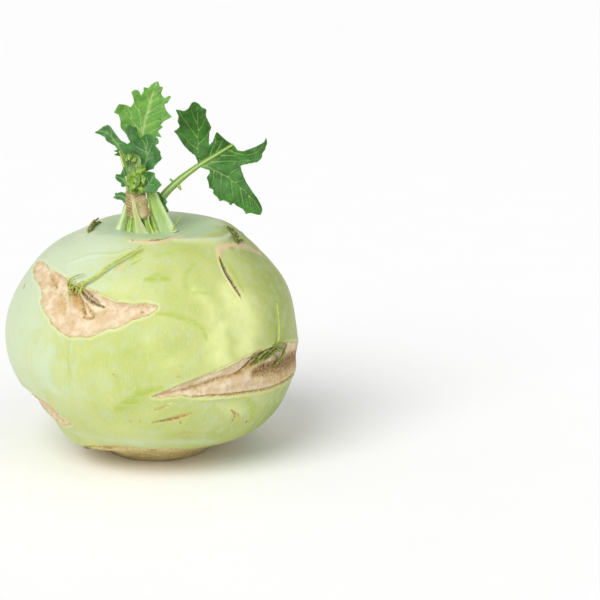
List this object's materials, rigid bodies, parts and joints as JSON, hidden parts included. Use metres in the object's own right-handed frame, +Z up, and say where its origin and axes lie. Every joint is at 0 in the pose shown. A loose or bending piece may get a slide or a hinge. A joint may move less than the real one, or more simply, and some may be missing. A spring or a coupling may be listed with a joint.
{
  "type": "kohlrabi",
  "caption": "Pale green kohlrabi, its round corm standing on a flat cut root end, with corky leaf scars and a tuft of young lobed leaves.",
  "frame": {"origin": "centre of the flat cut root end, on the surface the corm stands on", "axes": "+Z up from the root end to the crown, +Y towards the back, +X to the right seen from the front"},
  "size_m": [0.105, 0.1037, 0.1329],
  "materials": {
    "corm_skin": "smooth waxy skin, pale green, paler and bloomed towards the crown, with corky pink-cream leaf scars",
    "leaf_blade": "matt grey-green leaf with paler raised veins",
    "young_leaf": "fresh bright green leaf with pale veins",
    "leaf_stalk": "smooth juicy pale green stalk",
    "withered_leaf": "dry papery tan leaf with herringbone veins",
    "scar_fibre": "fine dry yellow-green fibre",
    "dry_stub": "dried dark olive-brown stub of an old leaf stalk"
  },
  "bodies": {
    "root": {"corm": "corm_skin", "left_leaf_stalk": "leaf_stalk", "middle_leaf_stalk": "leaf_stalk", "tall_leaf_stalk": "leaf_stalk", "right_leaf_stalk": "leaf_stalk", "withered_leaf_stalk": "leaf_stalk", "left_stalk_stub": "leaf_stalk", "right_stalk_stub": "leaf_stalk", "left_scar_stub": "dry_stub", "right_scar_stub": "dry_stub", "back_scar_stub": "dry_stub", "long_scar_fibre": "scar_fibre", "short_scar_fibre": "scar_fibre", "upright_scar_fibre": "scar_fibre", "crown_fibre": "scar_fibre", "heart_bud": "young_leaf", "heart_leaf": "young_leaf", "tall_leaf_blade": "young_leaf", "middle_leaf_blade": "leaf_blade", "left_leaf_blade": "leaf_blade", "left_lower_leaflet": "leaf_blade", "left_low_leaflet": "leaf_blade", "front_leaflet": "leaf_blade", "shaded_leaflet": "leaf_blade", "right_leaf_blade": "leaf_blade", "withered_leaf_blade": "withered_leaf"}
  },
  "joints": []
}
